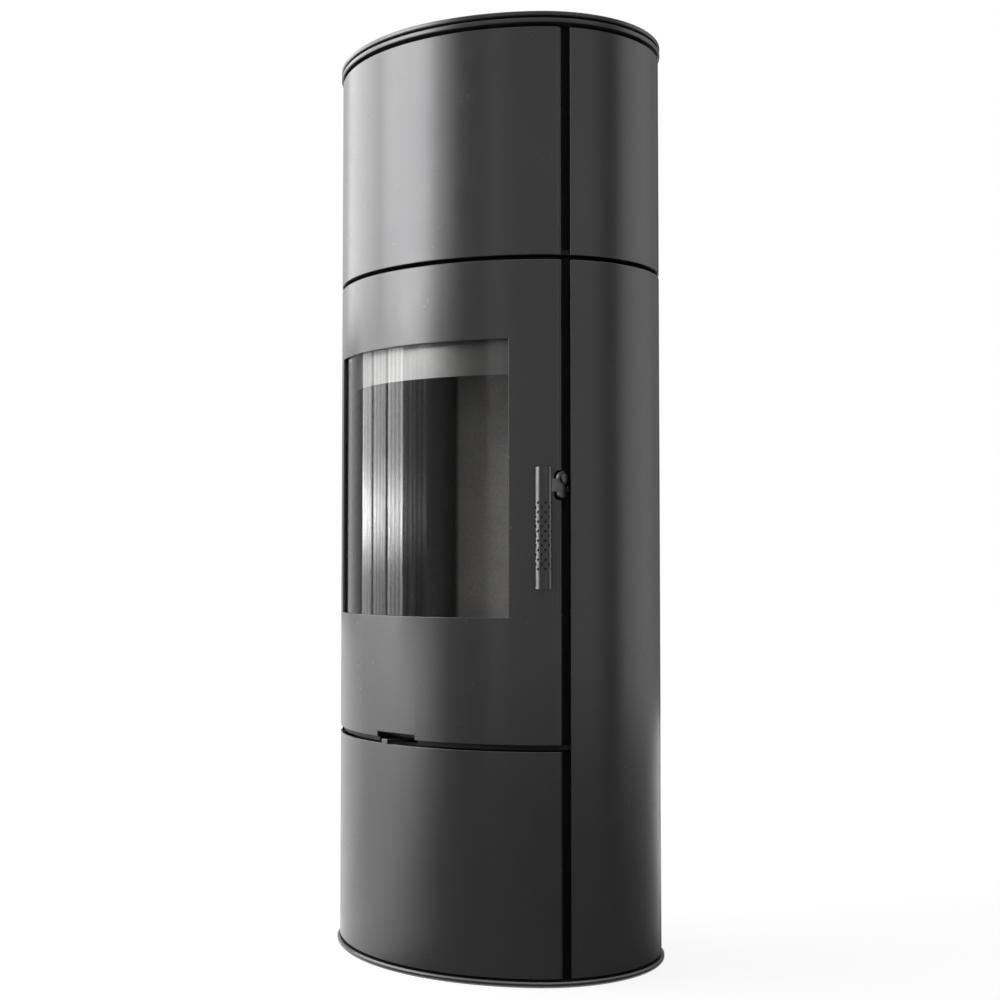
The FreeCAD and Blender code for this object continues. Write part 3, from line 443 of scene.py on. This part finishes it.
def cladding_paint():
    """Satin anthracite stove paint: fine metallic flake, orange peel, paler rubbed edges."""
    dark = (0.150, 0.150, 0.154)
    pale = (0.172, 0.171, 0.173)
    flake_grey = (0.205, 0.205, 0.210)
    rubbed = (0.27, 0.27, 0.27)
    shader = Shader("cladding_paint")
    normal, worn = shader.edges(radius=0.0012)
    cloud = shader.spread(shader.noise(scale=5.0, detail=4.0), MIDDLE, FULL)
    flake = shader.spread(shader.noise(scale=2600.0, detail=1.0), (0.35, 0.75), FULL)
    colour = shader.mix(cloud, dark, pale)
    colour = shader.mix(flake, colour, flake_grey)
    shader.feed("Base Color", shader.mix(worn, colour, rubbed))
    shader.roughness(shader.noise(scale=28.0, detail=4.0), QUARTERS, (0.23, 0.28))
    shader.set(Metallic=0.62)
    shader.bump(shader.noise(scale=900.0, detail=2.0), strength=0.06, distance=0.0002, normal=normal)
    return shader.material


def inner_paint():
    """Matt black paint of the hidden steel, with a little dust on what faces up."""
    dark = (0.012, 0.012, 0.0125)
    pale = (0.021, 0.020, 0.0195)
    dusty = (0.11, 0.105, 0.095)
    rubbed = (0.075, 0.075, 0.075)
    shader = Shader("inner_paint")
    normal, worn = shader.edges(radius=0.0008)
    cloud = shader.spread(shader.noise(scale=14.0, detail=5.0), MIDDLE, FULL)
    dust = shader.spread(shader.upward(), (0.6, 1.0), (0.0, 0.22))
    colour = shader.mix(cloud, dark, pale)
    colour = shader.mix(dust, colour, dusty)
    shader.feed("Base Color", shader.mix(worn, colour, rubbed))
    shader.roughness(shader.noise(scale=60.0, detail=3.0), QUARTERS, (0.48, 0.66))
    shader.bump(shader.noise(scale=1100.0, detail=3.0), strength=0.16, distance=0.0003, normal=normal)
    return shader.material


def vermiculite():
    """Pressed board with pale flakes, pits and a light film of soot; the side boards are painted near-black
    as painted shade.
    """
    cell_scale = 420.0
    tone_share = 0.12
    grit_share = 0.5
    pale = (0.52, 0.50, 0.48)
    dark = (0.41, 0.392, 0.376)
    sooty = (0.20, 0.192, 0.184)
    painted_shade_black = (0.022, 0.021, 0.020)
    shader = Shader("vermiculite")
    flakes = shader.spread(shader.cells(cell_scale), (0.1, 0.75), FULL)
    tone = shader.cells(cell_scale, output="Color")
    soot = shader.spread(shader.noise(scale=7.0, detail=5.0), UPPER_MIDDLE, (0.05, 0.45))
    # Painted shade: the board colour turns near-black towards the side boards, standing in for the shade on
    # these unlit walls
    side_shade = shader.spread(shader.sideways(), (SIDE_SHADE_FROM, SIDE_SHADE_FULL), (0.0, 0.93))
    colour = shader.mix(flakes, pale, dark)
    colour = shader.mix(tone_share, colour, tone, blend="OVERLAY")
    colour = shader.mix(soot, colour, sooty)
    shader.feed("Base Color", shader.mix(side_shade, colour, painted_shade_black))
    shader.roughness(shader.noise(scale=300.0, detail=2.0), MIDDLE, (0.80, 0.96))
    height = shader.mix(grit_share, flakes, shader.noise(scale=900.0, detail=4.0))
    shader.bump(height, strength=0.45, distance=0.0009)
    return shader.material


def cast_iron():
    """Sand-cast grate, dark and grainy."""
    dark = (0.030, 0.030, 0.031)
    pale = (0.060, 0.056, 0.052)
    rubbed = (0.11, 0.105, 0.10)
    shader = Shader("cast_iron")
    normal, worn = shader.edges(radius=0.0015)
    colour = shader.mix(shader.noise(scale=30.0, detail=5.0), dark, pale)
    shader.feed("Base Color", shader.mix(worn, colour, rubbed))
    shader.roughness(shader.noise(scale=160.0, detail=3.0), MIDDLE, (0.55, 0.78))
    shader.set(Metallic=0.35)
    grain = shader.noise(scale=520.0, detail=5.0, rough=0.7)
    shader.bump(grain, strength=0.5, distance=0.0008, normal=normal)
    return shader.material


def zinc_steel():
    """Galvanised sheet with a soft spangle."""
    spangle_share = 0.10
    grey = (0.46, 0.47, 0.48)
    rubbed = (0.62, 0.62, 0.62)
    shader = Shader("zinc_steel")
    normal, worn = shader.edges(radius=0.0006)
    spangle = shader.cells(scale=95.0, output="Color")
    colour = shader.mix(spangle_share, grey, spangle, blend="OVERLAY")
    shader.feed("Base Color", shader.mix(worn, colour, rubbed))
    shader.roughness(spangle, FULL, (0.34, 0.50))
    shader.set(Metallic=0.95)
    shader.bump(shader.noise(scale=420.0, detail=3.0), strength=0.08, distance=0.0003, normal=normal)
    return shader.material


def handle_steel():
    """Satin steel tube, brushed round its axis, so that reflections smear along it."""
    brush_scale = (90.0, 90.0, 5200.0)
    dark = (0.17, 0.17, 0.172)
    pale = (0.24, 0.24, 0.242)
    rubbed = (0.30, 0.30, 0.30)
    shader = Shader("handle_steel")
    normal, worn = shader.edges(radius=0.0002)
    brush = shader.noise(scale=1.0, detail=4.0, rough=0.6, place=shader.stretched(brush_scale))
    colour = shader.mix(brush, dark, pale)
    shader.feed("Base Color", shader.mix(worn, colour, rubbed))
    shader.roughness(brush, MIDDLE, (0.28, 0.36))
    shader.set(Metallic=0.85, Anisotropic=0.9, Anisotropic_Rotation=0.25)
    round_axis = shader.nodes.new("ShaderNodeTangent")
    round_axis.direction_type = "RADIAL"
    round_axis.axis = "Z"
    shader.feed("Tangent", round_axis.outputs["Tangent"])
    shader.bump(brush, strength=0.05, distance=0.0001, normal=normal)
    return shader.material


def latch_steel():
    """Bare machined steel, with oil-dark patches and fine scratches."""
    scratch_scale = (300.0, 2400.0, 600.0)
    pale = (0.30, 0.30, 0.30)
    oily = (0.20, 0.196, 0.192)
    rubbed = (0.34, 0.34, 0.34)
    shader = Shader("latch_steel")
    normal, worn = shader.edges(radius=0.0006)
    scratch = shader.noise(scale=1.0, detail=3.0, rough=0.6, place=shader.stretched(scratch_scale))
    patch = shader.spread(shader.noise(scale=55.0, detail=4.0), UPPER_MIDDLE, FULL)
    colour = shader.mix(patch, pale, oily)
    shader.feed("Base Color", shader.mix(worn, colour, rubbed))
    shader.roughness(scratch, MIDDLE, (0.42, 0.58))
    shader.set(Metallic=1.0)
    shader.bump(scratch, strength=0.12, distance=0.0002, normal=normal)
    return shader.material


def sheet_steel():
    """Bare rolled sheet, a little heat-stained."""
    grain_scale = (160.0, 160.0, 2600.0)
    dark = (0.275, 0.275, 0.276)
    stained = (0.312, 0.310, 0.306)
    rubbed = (0.40, 0.40, 0.40)
    shader = Shader("sheet_steel")
    normal, worn = shader.edges(radius=0.0006)
    stain = shader.spread(shader.noise(scale=9.0, detail=5.0), MIDDLE, FULL)
    grain = shader.noise(scale=1.0, detail=3.0, rough=0.6, place=shader.stretched(grain_scale))
    colour = shader.mix(stain, dark, stained)
    shader.feed("Base Color", shader.mix(worn, colour, rubbed))
    shader.roughness(grain, MIDDLE, (0.27, 0.33))
    shader.set(Metallic=0.9)
    shader.bump(grain, strength=0.05, distance=0.0001, normal=normal)
    return shader.material


def stove_glass():
    """Heat-proof glass with a faint warm tint; lamps shine through it into the firebox."""
    haze_scale = (26.0, 26.0, 2.2)
    hazy = (0.93, 0.925, 0.920)
    clean = (0.975, 0.972, 0.968)
    let_through = (0.95, 0.948, 0.945)
    shader = Shader("stove_glass")
    haze = shader.noise(scale=1.0, detail=4.0, rough=0.6, place=shader.stretched(haze_scale))
    shader.feed("Base Color", shader.mix(haze, hazy, clean))
    shader.roughness(haze, (0.35, 0.8), (0.004, 0.05))
    shader.set(Transmission_Weight=1.0, IOR=1.5)
    clear = shader.nodes.new("ShaderNodeBsdfTransparent")
    clear.inputs["Color"].default_value = (*let_through, 1.0)
    path = shader.nodes.new("ShaderNodeLightPath")
    both = shader.nodes.new("ShaderNodeMixShader")
    shader.links.new(path.outputs["Is Shadow Ray"], both.inputs[0])
    shader.links.new(shader.principled.outputs["BSDF"], both.inputs[1])
    shader.links.new(clear.outputs["BSDF"], both.inputs[2])
    shader.links.new(both.outputs["Shader"], shader.nodes["Material Output"].inputs["Surface"])
    return shader.material


def seal_rope():
    """Graphite-grey glass fibre, with fine yarn."""
    dark = (0.055, 0.055, 0.055)
    pale = (0.17, 0.168, 0.163)
    tufted = (0.26, 0.255, 0.245)
    shader = Shader("seal_rope")
    yarn = shader.noise(scale=1400.0, detail=4.0, rough=0.7)
    tuft = shader.noise(scale=220.0, detail=3.0)
    colour = shader.mix(yarn, dark, pale)
    shader.feed("Base Color", shader.mix(shader.spread(tuft, (0.5, 0.8), (0.0, 0.6)), colour, tufted))
    shader.roughness(tuft, MIDDLE, (0.82, 0.97))
    shader.set(Sheen_Weight=0.35, Sheen_Roughness=0.6)
    shader.bump(yarn, strength=0.7, distance=0.0005)
    return shader.material


def catch_plastic():
    """Black moulded catch with a fine spark texture."""
    dark = (0.022, 0.022, 0.023)
    pale = (0.036, 0.036, 0.037)
    shader = Shader("catch_plastic")
    grain = shader.noise(scale=1500.0, detail=2.0)
    shader.feed("Base Color", shader.mix(grain, dark, pale))
    shader.roughness(grain, MIDDLE, (0.42, 0.56))
    shader.bump(grain, strength=0.15, distance=0.0002)
    return shader.material


MAKERS = (cladding_paint, inner_paint, vermiculite, cast_iron, zinc_steel, handle_steel, latch_steel,
          sheet_steel, stove_glass, seal_rope, catch_plastic)
materials = {maker.__name__: maker() for maker in MAKERS}


def dress(piece, name):
    piece.data.materials.clear()
    piece.data.materials.append(materials[name])


for part in frame["record"]["subparts"]:
    dress(frame["nodes"][part["node"]], part["material_slot"])


def add_piece(piece, body, slot, *nodes):
    dress(piece, slot)
    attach(piece, body)
    if nodes:
        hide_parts(*nodes)


add_piece(door_rope(), "door", "seal_rope", "door_gasket")
add_piece(glass_tape(), "door", "seal_rope", "glass_gasket")
add_piece(rear_screws(), "stove_body", "zinc_steel")
add_piece(door_screws(), "door", "zinc_steel")


# Stage: pale floor and white world
FLOOR_R = 14.0
FLOOR_SIDES = 96
FLOOR_COLOUR = 0.40
FLOOR_ROUGHNESS = 0.9
FLOOR_GLOW = 0.86
AMBIENT = 0.18
WHITE = (1.0, 1.0, 1.0, 1.0)

# Two soft lamps high on the left and a low fill: name, angles, levels, brightness, shown in reflections
LAMP_DISTANCE = 3.0
LAMP_LOW = 1.35
LAMP_HIGH = 3.60
FILL_LOW = 0.35
FILL_HIGH = 1.25
LAMPS = (("lamp_front", -56.0, -18.5, LAMP_LOW, LAMP_HIGH, 2.8, True),
         ("lamp_left", -98.0, -60.0, LAMP_LOW, LAMP_HIGH, 1.8, True),
         ("lamp_fill", 8.0, 48.0, FILL_LOW, FILL_HIGH, 1.0, False))

# Round room that only reflections and glass show: each band's name, levels, and angles with brightness
ROOM_R = 3.4
ROOM_STEP = 0.5
ROOM_BANDS = (
    ("room_low", 0.0, 0.38,
     ((-155, 0.40), (-130, 0.80), (-100, 1.15), (-81, 1.1), (-69, 1.0), (-57, 1.3), (-46, 1.6), (-37, 1.9),
      (-29, 1.75), (-21, 1.05), (-14, 0.33), (-7, 0.08))),
    ("room_left", 0.38, 1.34,
     ((-155, 0.22), (-135, 0.30), (-100, 0.60), (-82, 0.22), (-40, 0.35), (-28, 0.30), (-7, 0.06))),
    ("room_sill", 1.34, 1.42,
     ((-98, 0.60), (-82, 0.22), (-44, 0.35), (-41, 12.0), (-27, 12.0), (-20, 0.3), (-7, 0.06))),
    ("room_high", 1.42, 1.80, ((-56, 0.8), (-30, 0.9), (-18, 0.6))),
    ("room_back", 1.30, 5.0, ((-155, 0.22), (-140, 0.25), (-125, 0.70), (-98, 1.0))),
    ("room_right", 0.0, 5.0,
     ((-7, 0.06), (12, 0.06), (15, 0.28), (21, 0.28), (24, 0.15), (60, 0.20), (75, 0.27), (92, 0.29),
      (101, 0.17), (107, 0.06), (116, 0.08), (128, 0.58), (150, 0.70), (165, 0.55), (180, 0.28),
      (205, 0.22))),
)

# The room's floor, and the hearth next to the base plate: angles with brightness
ROOM_FLOOR_RISE = 0.002
ROOM_FLOOR = ((-150, 1.0), (-81, 1.15), (-69, 0.9), (-46, 0.95), (-37, 0.8), (-29, 0.60), (-21, 0.32),
              (-14, 0.13), (-7, 0.05), (0, 0.03), (60, 0.03), (95, 0.06), (107, 0.04), (130, 0.10),
              (145, 0.22), (160, 0.40), (180, 0.9), (210, 1.2))
HEARTH_GAP = 0.006
HEARTH_R = 0.75
HEARTH = ((-150, 1.0), (-60, 1.2), (-40, 1.05), (-32, 0.96), (-22, 0.89), (-16.6, 0.76), (-10.6, 0.53),
          (-4.5, 0.29), (1, 0.11), (8, 0.05), (90, 0.04), (120, 0.08), (140, 0.20), (165, 0.6), (210, 1.0))

# Curtained window of the room: levels with brightness, then each pane's angles, share and levels
PANE_R = 3.38
PANE_STEP = 0.3
PANE_RISE = 0.02
PANE_LEVELS = ((0.36, 1.1), (0.54, 1.1), (0.61, 1.9), (0.69, 4.4), (0.75, 5.3), (0.81, 5.0), (0.88, 2.9),
               (0.94, 2.1), (1.08, 1.9), (1.24, 2.0), (1.40, 1.3))
DIM_LEVELS = ((0.36, 0.14), (0.61, 0.20), (0.69, 0.50), (0.75, 0.65), (0.81, 0.60), (0.88, 0.35),
              (1.14, 0.30), (1.30, 0.45))
PANES = ((-79.5, -69.4, 1.0, PANE_LEVELS),
         (-66.9, -55.6, 1.0, PANE_LEVELS),
         (-53.0, -41.0, 1.25, PANE_LEVELS),
         (-40.2, -34.2, 1.3, DIM_LEVELS),
         (-33.0, -24.0, 1.0, DIM_LEVELS))

# Streaks and bright edges of the curtain
STREAK_SHARES = (0.34, 0.30)
STREAK_TURNS = (1.9, 4.3)
STREAK_SHIFT = 0.07
EDGE_WIDTH = 1.5
EDGE_SHARE = 0.6


def light_path_share(nodes, links):
    """1 for rays from the camera, in reflections and through glass, else 0."""
    path = nodes.new("ShaderNodeLightPath")
    first = nodes.new("ShaderNodeMath")
    first.operation = "MAXIMUM"
    second = nodes.new("ShaderNodeMath")
    second.operation = "MAXIMUM"
    links.new(path.outputs["Is Camera Ray"], first.inputs[0])
    links.new(path.outputs["Is Glossy Ray"], first.inputs[1])
    links.new(first.outputs["Value"], second.inputs[0])
    links.new(path.outputs["Is Transmission Ray"], second.inputs[1])
    return second.outputs["Value"]


def white_world():
    world = bpy.data.worlds.new("white_studio")
    world.use_nodes = True
    bpy.context.scene.world = world
    nodes = world.node_tree.nodes
    links = world.node_tree.links
    strength = nodes.new("ShaderNodeMapRange")
    links.new(light_path_share(nodes, links), strength.inputs["Value"])
    strength.inputs["To Min"].default_value = AMBIENT
    strength.inputs["To Max"].default_value = 1.0
    links.new(strength.outputs["Result"], nodes["Background"].inputs["Strength"])
    nodes["Background"].inputs["Color"].default_value = WHITE


def floor_material():
    material = bpy.data.materials.new("floor_white")
    material.use_nodes = True
    nodes = material.node_tree.nodes
    links = material.node_tree.links
    principled = nodes["Principled BSDF"]
    principled.inputs["Base Color"].default_value = (FLOOR_COLOUR, FLOOR_COLOUR, FLOOR_COLOUR, 1.0)
    principled.inputs["Roughness"].default_value = FLOOR_ROUGHNESS
    glow = nodes.new("ShaderNodeMath")
    glow.operation = "MULTIPLY"
    links.new(light_path_share(nodes, links), glow.inputs[0])
    glow.inputs[1].default_value = FLOOR_GLOW
    principled.inputs["Emission Color"].default_value = WHITE
    links.new(glow.outputs["Value"], principled.inputs["Emission Strength"])
    return material


def floor():
    points = [(0, 0, 0)]
    faces = []
    for side in range(FLOOR_SIDES):
        turn = math.tau * side / FLOOR_SIDES
        points.append((FLOOR_R * math.cos(turn), FLOOR_R * math.sin(turn), 0))
        faces.append((0, side + 1, (side + 1) % FLOOR_SIDES + 1))
    plane = new_piece("floor", points, faces, smooth=False)
    plane.data.materials.append(floor_material())


def room_material():
    """Plain light whose strength is kept on each point of the mesh."""
    material = bpy.data.materials.new("room_glow")
    material.use_nodes = True
    nodes = material.node_tree.nodes
    nodes.remove(nodes["Principled BSDF"])
    level = nodes.new("ShaderNodeAttribute")
    level.attribute_name = "level"
    glow = nodes.new("ShaderNodeEmission")
    material.node_tree.links.new(level.outputs["Fac"], glow.inputs["Strength"])
    material.node_tree.links.new(glow.outputs["Emission"], nodes["Material Output"].inputs["Surface"])
    return material


def level_at(stops, place):
    """Brightness at an angle or level, between the stops on either side of it."""
    for (first, low), (last, high) in zip(stops, stops[1:]):
        if first <= place <= last:
            return low + (high - low) * (place - first) / (last - first)
    return stops[-1][1]


def glowing_sheet(name, points, faces, levels):
    """Sheet that only reflections and glass show, with its brightness at each point."""
    sheet = new_piece(name, points, faces, smooth=False)
    sheet.data.attributes.new("level", "FLOAT", "POINT").data.foreach_set("value", levels)
    sheet.data.materials.append(ROOM_GLOW)
    sheet.visible_camera = False
    sheet.visible_diffuse = False
    sheet.visible_shadow = False


def ring(radius, height):
    return lambda angle: outward(angle) * radius + raised(height)


def base_rim(gap, height):
    return lambda angle: oval_point(angle, -gap) + raised(height)


def room_sheet(name, inner, outer, stops, outer_stops=None):
    """Sheet between two edges; an edge gives its point at each angle, and stops its brightness."""
    first, last = stops[0][0], stops[-1][0]
    count = math.ceil((last - first) / ROOM_STEP)
    points = []
    faces = []
    levels = []
    for step in range(count + 1):
        angle = first + (last - first) * step / count
        for edge, edge_stops in ((inner, stops), (outer, outer_stops or stops)):
            points.append(edge(angle))
            levels.append(level_at(edge_stops, angle))
        if step < count:
            faces.append((2 * step, 2 * step + 2, 2 * step + 3, 2 * step + 1))
    glowing_sheet(name, points, faces, levels)


def pane(name, first, last, share, stops):
    """Curtained pane: streaks across, and soft bright and dark stretches by level."""
    columns = math.ceil((last - first) / PANE_STEP)
    low, high = stops[0][0], stops[-1][0]
    rows = math.ceil((high - low) / PANE_RISE)
    points = []
    faces = []
    levels = []
    for column in range(columns + 1):
        angle = first + (last - first) * column / columns
        waves = [math.sin(turn * angle) for turn in STREAK_TURNS]
        streak = share * (1 + sum(part * wave for part, wave in zip(STREAK_SHARES, waves)))
        streak *= 1 + EDGE_SHARE * max(0.0, 1 - min(angle - first, last - angle) / EDGE_WIDTH)
        for row in range(rows + 1):
            height = low + (high - low) * row / rows
            seen = min(max(height + STREAK_SHIFT * waves[-1], low), high)
            points.append(outward(angle) * PANE_R + raised(height))
            levels.append(streak * level_at(stops, seen))
            if column < columns and row < rows:
                corner = column * (rows + 1) + row
                faces.append((corner, corner + rows + 1, corner + rows + 2, corner + 1))
    glowing_sheet(name, points, faces, levels)


def room():
    for name, low, high, stops in ROOM_BANDS:
        room_sheet(name, ring(ROOM_R, low), ring(ROOM_R, high), stops)
    for number, (first, last, share, stops) in enumerate(PANES):
        pane(f"room_pane_{number}", first, last, share, stops)
    between = ring(HEARTH_R, ROOM_FLOOR_RISE)
    room_sheet("room_hearth", base_rim(HEARTH_GAP, ROOM_FLOOR_RISE), between, HEARTH, ROOM_FLOOR)
    room_sheet("room_floor", between, ring(ROOM_R, ROOM_FLOOR_RISE), ROOM_FLOOR)


def lamps():
    for name, first, last, low, high, brightness, reflected in LAMPS:
        height = high - low
        width = 2 * LAMP_DISTANCE * math.tan(math.radians((last - first) / 2))
        data = bpy.data.lights.new(name, "AREA")
        data.shape = "RECTANGLE"
        data.size = width
        data.size_y = height
        data.energy = math.pi * brightness * width * height
        lamp = bpy.data.objects.new(name, data)
        way = outward((first + last) / 2)
        lamp.location = way * LAMP_DISTANCE + raised((low + high) / 2)
        lamp.visible_glossy = reflected
        lamp.visible_transmission = reflected
        lamp.rotation_mode = "QUATERNION"
        lamp.rotation_quaternion = (-way).to_track_quat("-Z", "Y")
        bpy.context.scene.collection.objects.link(lamp)


def camera():
    data = bpy.data.cameras.new("camera")
    data.sensor_width = CAMERA_SENSOR
    data.lens = CAMERA_LENS
    data.shift_x = CAMERA_SHIFT_X
    data.shift_y = CAMERA_SHIFT_Y
    eye = bpy.data.objects.new("camera", data)
    pitch = math.radians(CAMERA_PITCH)
    ahead = -outward(CAMERA_AZIMUTH) * math.cos(pitch) + raised(math.sin(pitch))
    eye.location = CAMERA_AT
    eye.rotation_mode = "QUATERNION"
    eye.rotation_quaternion = ahead.to_track_quat("-Z", "Y")
    bpy.context.scene.collection.objects.link(eye)
    bpy.context.scene.camera = eye


ROOM_GLOW = room_material()
white_world()
floor()
room()
lamps()
camera()
bpy.context.scene.view_settings.view_transform = "Standard"
